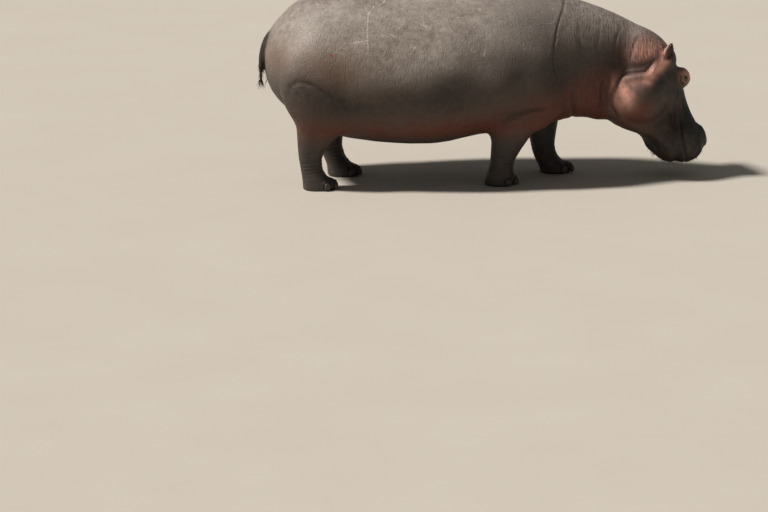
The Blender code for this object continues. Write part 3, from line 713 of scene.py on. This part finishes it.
# Small marks: how much of each, and its colour
fleck_cells = add(tree, "TexVoronoi", {"Vector": place, "Scale": 1 / FLECK_CELL}, "Distance")
fleck = add(tree, "MapRange", {"Value": fleck_cells, "From Min": 0.14, "From Max": 0.26,
            "To Min": 1.0, "To Max": 0.0})
some = add(tree, "MapRange", {"Value": mottle, "From Min": 0.52, "From Max": 0.60})
fleck = add(tree, "Math", {0: fleck, 1: some}, operation="MULTIPLY")
fleck = add(tree, "Math", {0: fleck, 1: amounts["back"]}, operation="MULTIPLY")
marks = [(fleck, 0.45, "fleck")]
for turn, stretch in (((0.0, 0.5, 0.2), (14, 14, 130)), ((0.3, -0.9, 0.0), (12, 12, 150))):
    streaked = add(tree, "Mapping", {"Vector": place, "Rotation": turn, "Scale": stretch})
    streak = add(tree, "TexNoise", {"Vector": streaked, "Scale": 1.0, "Detail": 3.0}, "Fac")
    scratch = add(tree, "MapRange", {"Value": streak, "From Min": 0.66, "From Max": 0.74})
    scratch = add(tree, "Math", {0: scratch, 1: amounts["back"]}, operation="MULTIPLY")
    marks.append((scratch, 0.40, "fleck"))
freckle_cells = add(tree, "TexVoronoi", {"Vector": place, "Scale": 1 / FRECKLE_CELL}, "Distance")
freckle = add(tree, "MapRange", {"Value": freckle_cells, "From Min": 0.14, "From Max": 0.24,
              "To Min": 1.0, "To Max": 0.0})
freckle = add(tree, "Math", {0: freckle, 1: amounts["blush"]}, operation="MULTIPLY")
marks.append((freckle, 0.50, "freckle"))
# Wrinkles, neck wrinkles and folds are darkened as painted shade in their grooves
marks.append((wrinkle, 0.07, "crevice"))
marks.append((neck_line, 0.20, "crevice"))
pale_lines = add(tree, "Math", {0: lines["pale"], 1: amounts["streaks"]}, operation="MULTIPLY")
marks.append((pale_lines, 0.45, "blush"))
marks.append((amounts["fold"], 0.75, "crevice"))
flattened = add(tree, "VectorMath", {0: place, 1: (1, ACROSS, 1)}, operation="MULTIPLY")
for path, half_width, strength in SCARS:
    for start, end in zip(path, path[1:]):
        start, end = (Vector((spot[0], ACROSS * spot[1], spot[2])) for spot in (start, end))
        run = end - start
        offset = add(tree, "VectorMath", {0: flattened, 1: start}, operation="SUBTRACT")
        along = add(tree, "VectorMath", {0: offset, 1: run / run.length_squared}, "Value",
                    operation="DOT_PRODUCT")
        along = add(tree, "Clamp", {"Value": along})
        nearest = add(tree, "VectorMath", {0: tuple(run), "Scale": along}, operation="SCALE")
        away = add(tree, "VectorMath", {0: offset, 1: nearest}, "Value", operation="DISTANCE")
        away = add(tree, "Math", {0: mottle, 1: -0.016, 2: away}, operation="MULTIPLY_ADD")
        scar = add(tree, "MapRange", {"Value": away, "From Min": 0.2 * half_width - 0.008,
                   "From Max": 1.4 * half_width - 0.008, "To Min": 1.0, "To Max": 0.0})
        marks.append((scar, 0.7 * strength, "scar"))
away = add(tree, "VectorMath", {0: place, 1: WOUND}, "Value", operation="DISTANCE")
away = add(tree, "Math", {0: mottle, 1: -0.02, 2: away}, operation="MULTIPLY_ADD")
wound = add(tree, "MapRange", {"Value": away, "From Min": 0.0, "From Max": 0.012, "To Min": 1.0,
            "To Max": 0.0})
marks.append((wound, 1.0, "wound"))
for amount, strength, tone in marks:
    amount = add(tree, "Math", {0: amount, 1: strength}, operation="MULTIPLY", use_clamp=True)
    colour = add(tree, "Mix", {0: amount, MIX_A: colour, MIX_B: tones[tone]}, MIX_OUT,
                 data_type="RGBA")

# Relief in metres, and gloss
height = add(tree, "Math", {0: mottle, 1: 0.0040, 2: 0.0}, operation="MULTIPLY_ADD")
for layer, depth in ((grain, 0.0004), (cells, -0.0010), (wrinkle, -0.0011), (neck_line, -0.0016)):
    height = add(tree, "Math", {0: layer, 1: depth, 2: height}, operation="MULTIPLY_ADD")
relief = add(tree, "Bump", {"Strength": 1.0, "Distance": 1.0, "Height": height})
gloss = add(tree, "MapRange", {"Value": mottle, "From Min": 0.3, "From Max": 0.7, "To Min": 0.48,
            "To Max": 0.66})
shader = add(tree, "BsdfPrincipled", {"Base Color": colour, "Specular IOR Level": 0.4,
             "Roughness": gloss, "Normal": relief})
add(tree, "OutputMaterial", {"Surface": shader})
hide.data.materials.clear()
hide.data.materials.append(hide_material)
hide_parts(*[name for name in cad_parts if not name.startswith(("eye_", "toenail_"))])
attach(hide, "root")

# Eyes: wet balls of glass-like cornea over a brown iris with a broad pupil, deep in the lids.

IRIS_REACH = 0.29
CORNEA_BULGE = 0.035
PUPIL = (0.100, 0.060)
EYE_COLOURS = {"iris_dark": "#2c1a10", "iris": "#583820", "iris_rim": "#120a07", "white": "#4d352c",
               "pupil": "#030202"}
eye_material, tree = new_material("wet eye, brown iris")
seen_at = add(tree, "UVMap", {}, uv_map="across_the_eye")
from_centre = add(tree, "VectorMath", {0: seen_at, 1: (-0.5, -0.5, 0)}, operation="ADD")
reach = add(tree, "VectorMath", {0: from_centre}, "Value", operation="LENGTH")
slit = add(tree, "VectorMath", {0: from_centre, 1: (1 / PUPIL[0], 1 / PUPIL[1], 0)},
           operation="MULTIPLY")
slit = add(tree, "VectorMath", {0: slit}, "Value", operation="LENGTH")
streaks = add(tree, "TexNoise", {"Vector": from_centre, "Scale": 26.0, "Detail": 3.0}, "Fac")
colour = add(tree, "Mix", {0: streaks, MIX_A: linear(EYE_COLOURS["iris_dark"]),
             MIX_B: linear(EYE_COLOURS["iris"])}, MIX_OUT, data_type="RGBA")
for value, inner, outer, tone in ((reach, 0.80 * IRIS_REACH, 0.95 * IRIS_REACH, "iris_rim"),
                                  (reach, 0.98 * IRIS_REACH, 1.08 * IRIS_REACH, "white"),
                                  (slit, 1.08, 0.92, "pupil")):
    amount = add(tree, "MapRange", {"Value": value, "From Min": inner, "From Max": outer})
    colour = add(tree, "Mix", {0: amount, MIX_A: colour, MIX_B: linear(EYE_COLOURS[tone])}, MIX_OUT,
                 data_type="RGBA")
shader = add(tree, "BsdfPrincipled", {"Base Color": colour, "Roughness": 0.15, "Coat Weight": 0.5,
             "Coat Roughness": 0.03})
add(tree, "OutputMaterial", {"Surface": shader})
for which, side in SIDES.items():
    gaze, forward, upward = gaze_axes(side)
    bm = bmesh.new()
    bmesh.ops.create_uvsphere(bm, u_segments=48, v_segments=32, radius=EYE_RADIUS)
    layer = bm.loops.layers.uv.new("across_the_eye")
    for vertex in bm.verts:
        facing = vertex.co.normalized().dot(gaze)
        vertex.co *= 1 + CORNEA_BULGE * max(0.0, (facing - 0.80) / 0.20) ** 0.8
    for face in bm.faces:
        for loop in face.loops:
            spot = loop.vert.co / EYE_RADIUS
            behind = 2.0 if spot.dot(gaze) < 0 else 1.0
            loop[layer].uv = (0.5 + 0.5 * behind * spot.dot(forward),
                              0.5 + 0.5 * behind * spot.dot(upward))
    bmesh.ops.translate(bm, vec=eye_places[which], verts=bm.verts)
    eye = add_piece("eyeball_" + which, bm)
    shade_smooth(eye)
    eye.data.materials.append(eye_material)
    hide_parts("eye_" + which)
    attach(eye, "root")

# Toenails: four blunt shields of horn to a foot, ridged from root to edge and worn flat below.

NAIL_COLOURS = ("#2e2825", "#6a5f56")
NAIL_EDGE_HEIGHT = 0.007
NAIL_THICKNESS = 0.0125
NAIL_HALF_WIDTH = 0.0225
NAIL_FLARE = 0.12
NAIL_SLOPE = 0.002
NAIL_RIDGE = 0.005
NAIL_CHIP = 0.016
nail_material, tree = new_material("worn horn")
place = add(tree, "TexCoord", {}, "Object")
stretched = add(tree, "Mapping", {"Vector": place, "Scale": (1.0, 1.0, 0.12)})
ridges = add(tree, "TexNoise", {"Vector": stretched, "Scale": 1 / NAIL_RIDGE, "Detail": 3.0}, "Fac")
chips = add(tree, "TexNoise", {"Vector": place, "Scale": 1 / NAIL_CHIP, "Detail": 4.0}, "Fac")
amount = add(tree, "MapRange", {"Value": ridges, "From Min": 0.35, "From Max": 0.70})
amount = add(tree, "Math", {0: amount, 1: chips}, operation="MULTIPLY")
colour = add(tree, "Mix", {0: amount, MIX_A: linear(NAIL_COLOURS[0]), MIX_B: linear(NAIL_COLOURS[1])},
             MIX_OUT, data_type="RGBA")
height = add(tree, "Math", {0: chips, 1: 0.0010}, operation="MULTIPLY")
height = add(tree, "Math", {0: ridges, 1: 0.0010, 2: height}, operation="MULTIPLY_ADD")
relief = add(tree, "Bump", {"Strength": 1.0, "Distance": 1.0, "Height": height})
gloss = add(tree, "MapRange", {"Value": chips, "From Min": 0.3, "From Max": 0.7, "To Min": 0.35,
            "To Max": 0.60})
shader = add(tree, "BsdfPrincipled", {"Base Color": colour, "Roughness": gloss, "Normal": relief})
add(tree, "OutputMaterial", {"Surface": shader})
for foot in FEET:
    bm = bmesh.new()
    for number, toe_angle in enumerate(TOE_ANGLES, start=1):
        low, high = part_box(f"toenail_{foot}_{number}")
        made = bmesh.ops.create_uvsphere(bm, u_segments=24, v_segments=16, radius=1.0)["verts"]
        for vertex in made:
            out, aside, up = vertex.co
            square = (abs(aside) ** 3 + abs(up) ** 3 + abs(out) ** 3) ** (1 / 3)
            out, aside, up = out / square, aside / square, up / square
            lower = 0.5 - 0.5 * up
            flare = 1 + NAIL_FLARE * lower
            vertex.co = Vector((NAIL_THICKNESS * out * flare + NAIL_SLOPE * lower,
                                NAIL_HALF_WIDTH * aside * flare, 0.49 * (high.z - low.z) * up))
        heading = Matrix.Rotation(math.radians(toe_angle), 4, "Z")
        bmesh.ops.transform(bm, matrix=Matrix.Translation((low + high) / 2) @ heading, verts=made)
        for vertex in made:
            vertex.co.z = max(vertex.co.z, NAIL_EDGE_HEIGHT)
    bmesh.ops.recalc_face_normals(bm, faces=bm.faces)
    nails = add_piece("nails_" + foot, bm)
    shade_smooth(nails)
    nails.data.materials.append(nail_material)
    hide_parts(*[f"toenail_{foot}_{number}" for number in range(1, 5)])
    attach(nails, "root")

# Bristles: the only hair on the animal. Stiff and nearly black, in sparse tufts on the muzzle,
# as a fringe on the ears, and as two combs down the flattened tail.

SPINE_STEPS = 4
BRISTLE_COLOURS = ("#151110", "#3b302a")
BRISTLE_TINT = 0.006
bristle_material, tree = new_material("stiff dark bristle")
place = add(tree, "TexCoord", {}, "Object")
tint = add(tree, "TexNoise", {"Vector": place, "Scale": 1 / BRISTLE_TINT, "Detail": 2.0}, "Fac")
colour = add(tree, "Mix", {0: tint, MIX_A: linear(BRISTLE_COLOURS[0]),
             MIX_B: linear(BRISTLE_COLOURS[1])}, MIX_OUT, data_type="RGBA")
gloss = add(tree, "MapRange", {"Value": tint, "To Min": 0.30, "To Max": 0.55})
shader = add(tree, "BsdfPrincipled", {"Base Color": colour, "Roughness": gloss})
add(tree, "OutputMaterial", {"Surface": shader})

# One bristle of unit length, as a tapered three-sided spine that stands on its root
bm = bmesh.new()
bmesh.ops.create_cone(bm, cap_ends=True, segments=3, radius1=0.5, radius2=0.06, depth=1.0)
bmesh.ops.translate(bm, vec=(0, 0, 0.5), verts=bm.verts)
long_edges = [edge for edge in bm.edges if abs(edge.verts[0].co.z - edge.verts[1].co.z) > 0.5]
bmesh.ops.subdivide_edges(bm, edges=long_edges, cuts=SPINE_STEPS - 1)
spine_places = np.array([vertex.co for vertex in bm.verts])
spine_faces = np.array([[loop.vert.index for loop in face.loops] for face in
                        bmesh.ops.triangulate(bm, faces=bm.faces)["faces"]])
bm.free()


def unrolled(places, centre, axis, length):
    """Places unrolled from round an axis: turns about it across, and way along it upwards."""
    axis = np.array(axis) / np.linalg.norm(axis)
    start = np.cross(axis, (0, 1, 0))
    start /= np.linalg.norm(start)
    offset = places - np.array(centre)
    turn = np.arctan2(offset @ np.cross(axis, start), offset @ start)
    return np.stack((0.5 + turn / (2 * math.pi), 0.5 + offset @ axis / length), axis=1)


def grow(name, roots, directions, lengths, thickness, droop, root_map, chance):
    """Bristles from roots, each leaning along its direction and bent downwards, as one piece."""
    count = len(roots)
    directions = directions / np.linalg.norm(directions, axis=1)[:, None]
    aside = np.cross(directions, chance.normal(size=(count, 3)))
    aside /= np.linalg.norm(aside, axis=1)[:, None]
    other = np.cross(directions, aside)
    along = spine_places[:, 2]
    places = roots[:, None] + lengths[:, None, None] * along[None, :, None] * directions[:, None]
    places += thickness * spine_places[None, :, 0, None] * aside[:, None]
    places += thickness * spine_places[None, :, 1, None] * other[:, None]
    places[:, :, 2] -= droop * lengths[:, None] * along[None] ** 2
    faces = spine_faces[None] + len(along) * np.arange(count)[:, None, None]
    mesh = bpy.data.meshes.new(name)
    mesh.from_pydata(places.reshape(-1, 3).tolist(), [], faces.reshape(-1, 3).tolist())
    patch_map = root_map[:, None] + 0.0015 * spine_places[None, :, :2] * (1 + along[None, :, None])
    patch_map = patch_map.reshape(-1, 2)
    layer = mesh.uv_layers.new(name="OFBake")
    corners = np.empty(len(mesh.loops), np.int32)
    mesh.loops.foreach_get("vertex_index", corners)
    layer.data.foreach_set("uv", patch_map[corners].astype(np.float32).ravel())
    piece = bpy.data.objects.new(name, mesh)
    bpy.context.scene.collection.objects.link(piece)
    mesh.materials.append(bristle_material)
    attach(piece, "root")


hide_places, hide_normals = vertex_places(hide.data), vertex_normals(hide.data)
ahead, across, above = in_head(hide_places).T
ahead_axis = np.array(head_axes.col[0])

# Muzzle: more towards the lips' front, each tuft of a few that spread from one pit
TUFTS = 200
HAIRS_IN_TUFT = 4
chance = np.random.default_rng(11)
on_lips = ease((ahead - 0.60) / 0.16) * ease((0.10 - above) / 0.04) * (hide_places[:, 0] > 0.9)
mouth = along_path(np.stack((ahead, above), axis=1), curve(MOUTH))[0]
on_lips *= ease((mouth - 0.012) / 0.01) * ease((0.16 - mouth) / 0.05)
tufts = chance.choice(len(ahead), TUFTS, replace=False, p=on_lips / on_lips.sum())
tufts = np.repeat(tufts, HAIRS_IN_TUFT)
spread = chance.normal(size=(len(tufts), 3))
roots = hide_places[tufts] + 0.0012 * spread - 0.001 * hide_normals[tufts]
directions = hide_normals[tufts] + 0.45 * ahead_axis + 0.22 * spread
root_map = unrolled(roots, on_head(0.45, 0, -0.1), head_axes.col[0], 1.0)
grow("muzzle_bristles", roots, directions, chance.uniform(0.012, 0.034, len(tufts)),
     thickness=0.0012, droop=0.15, root_map=root_map, chance=chance)

# Ears: short hairs along the rim and over the shell
HAIRS_ON_EAR = 200
for which, side in SIDES.items():
    chance = np.random.default_rng(20 + side)
    low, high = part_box("ear_" + which)
    on_ear = near_box(hide_places, "ear_" + which, 0.002)
    from_middle = hide_places - np.array(middle("ear_" + which))
    rim = np.linalg.norm(from_middle / np.array(high - low), axis=1)
    on_ear *= ease((rim - 0.36) / 0.20) * ease((0.03 - ahead) / 0.03)
    chosen = chance.choice(len(ahead), HAIRS_ON_EAR, replace=False, p=on_ear / on_ear.sum())
    roots = hide_places[chosen] - 0.001 * hide_normals[chosen]
    directions = hide_normals[chosen] - 0.9 * ahead_axis + 0.3 * chance.normal(size=roots.shape)
    root_map = unrolled(roots, middle("ear_" + which), head_axes.col[0], 0.4)
    grow("fringe_ear_" + which, roots, directions, chance.uniform(0.006, 0.014, len(roots)),
         thickness=0.0007, droop=0.10, root_map=root_map, chance=chance)

# Tail: a comb of wiry hairs down each edge, longest at the tip
HAIRS_ON_TAIL = 420
chance = np.random.default_rng(31)
tail_low, tail_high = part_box("tail")
down = (tail_high.z - hide_places[:, 2]) / (tail_high.z - tail_low.z)
comb = near_box(hide_places, "tail", 0.002) * ease((down - 0.42) / 0.35)
comb *= 0.15 + np.abs(hide_normals[:, 1]) ** 2 + ease((down - 0.93) / 0.05)
chosen = chance.choice(len(down), HAIRS_ON_TAIL, p=comb / comb.sum())
roots = hide_places[chosen] - 0.002 * hide_normals[chosen]
directions = 0.6 * hide_normals[chosen] + np.array((-0.05, 0, -1.3))
directions += 0.20 * chance.normal(size=roots.shape)
lengths = chance.uniform(0.020, 0.042, len(roots)) * (1 + 0.5 * ease((down[chosen] - 0.8) / 0.2))
root_map = unrolled(roots, (tail_low + tail_high) / 2, (0, 0, 1), 0.6)
grow("tail_brush", roots, directions, lengths, thickness=0.0016, droop=0.25, root_map=root_map,
     chance=chance)

# Studio: a pale floor wider than any view of the animal, a soft sun-like key high on the viewer's
# left, and an even sky.

FLOOR_SIZE = 160.0
FLOOR_COLOURS = ("#b9b1a6", "#beb7ac")
TROWEL_MARK = 0.8
SKY_COLOUR = "#ecebe8"
SKY_STRENGTH = 0.19
KEY_FROM = Vector((-0.60, -0.10, 0.79))
KEY_STRENGTH = 4.5
KEY_SPREAD = math.radians(8)
KEY_COLOUR = (1.0, 0.965, 0.91)
bm = bmesh.new()
bmesh.ops.create_grid(bm, x_segments=1, y_segments=1, size=FLOOR_SIZE / 2)
floor = add_piece("floor", bm)
floor_material, tree = new_material("pale painted screed")
place = add(tree, "TexCoord", {}, "Object")
trowelled = add(tree, "TexNoise", {"Vector": place, "Scale": 1 / TROWEL_MARK, "Detail": 5.0},
                "Fac")
colour = add(tree, "Mix", {0: trowelled, MIX_A: linear(FLOOR_COLOURS[0]),
             MIX_B: linear(FLOOR_COLOURS[1])}, MIX_OUT, data_type="RGBA")
shader = add(tree, "BsdfPrincipled", {"Base Color": colour, "Roughness": 0.9})
add(tree, "OutputMaterial", {"Surface": shader})
floor.data.materials.append(floor_material)

world = bpy.data.worlds.new("studio")
bpy.context.scene.world = world
world.use_nodes = True
world.node_tree.nodes["Background"].inputs["Color"].default_value = linear(SKY_COLOUR)
world.node_tree.nodes["Background"].inputs["Strength"].default_value = SKY_STRENGTH

key = bpy.data.lights.new("key", "SUN")
key.energy = KEY_STRENGTH
key.angle = KEY_SPREAD
key.color = KEY_COLOUR
key_lamp = bpy.data.objects.new("key", key)
bpy.context.scene.collection.objects.link(key_lamp)
key_lamp.rotation_euler = KEY_FROM.to_track_quat("Z", "Y").to_euler()

# Camera: a long lens on the animal's right, a little behind it and 13 degrees above
LENS = 200
SENSOR = 36
FRAME_WIDTH = 5.565
CAMERA_RISE = math.radians(13)
CAMERA_ROUND = math.radians(6)
BARREL_MIDDLE = Vector((-0.387, 0.0, 0.0))
OFF_TO_LEFT = 0.3333
OFF_BELOW = 0.5543
FARTHEST_SEEN = 300
level = Vector((math.sin(CAMERA_ROUND), math.cos(CAMERA_ROUND), 0))
to_right = Vector((math.cos(CAMERA_ROUND), -math.sin(CAMERA_ROUND), 0))
view = level * math.cos(CAMERA_RISE) - Vector((0, 0, 1)) * math.sin(CAMERA_RISE)
view_up = level * math.sin(CAMERA_RISE) + Vector((0, 0, 1)) * math.cos(CAMERA_RISE)
aim = BARREL_MIDDLE - to_right * OFF_TO_LEFT - view_up * OFF_BELOW
camera_data = bpy.data.cameras.new("camera")
camera_data.lens = LENS
camera_data.sensor_width = SENSOR
camera_data.clip_end = FARTHEST_SEEN
camera = bpy.data.objects.new("camera", camera_data)
bpy.context.scene.collection.objects.link(camera)
camera.location = aim - view * (FRAME_WIDTH * LENS / SENSOR)
camera.rotation_mode = "QUATERNION"
camera.rotation_quaternion = view.to_track_quat("-Z", "Y")
bpy.context.scene.camera = camera
bpy.context.scene.view_settings.view_transform = "Standard"
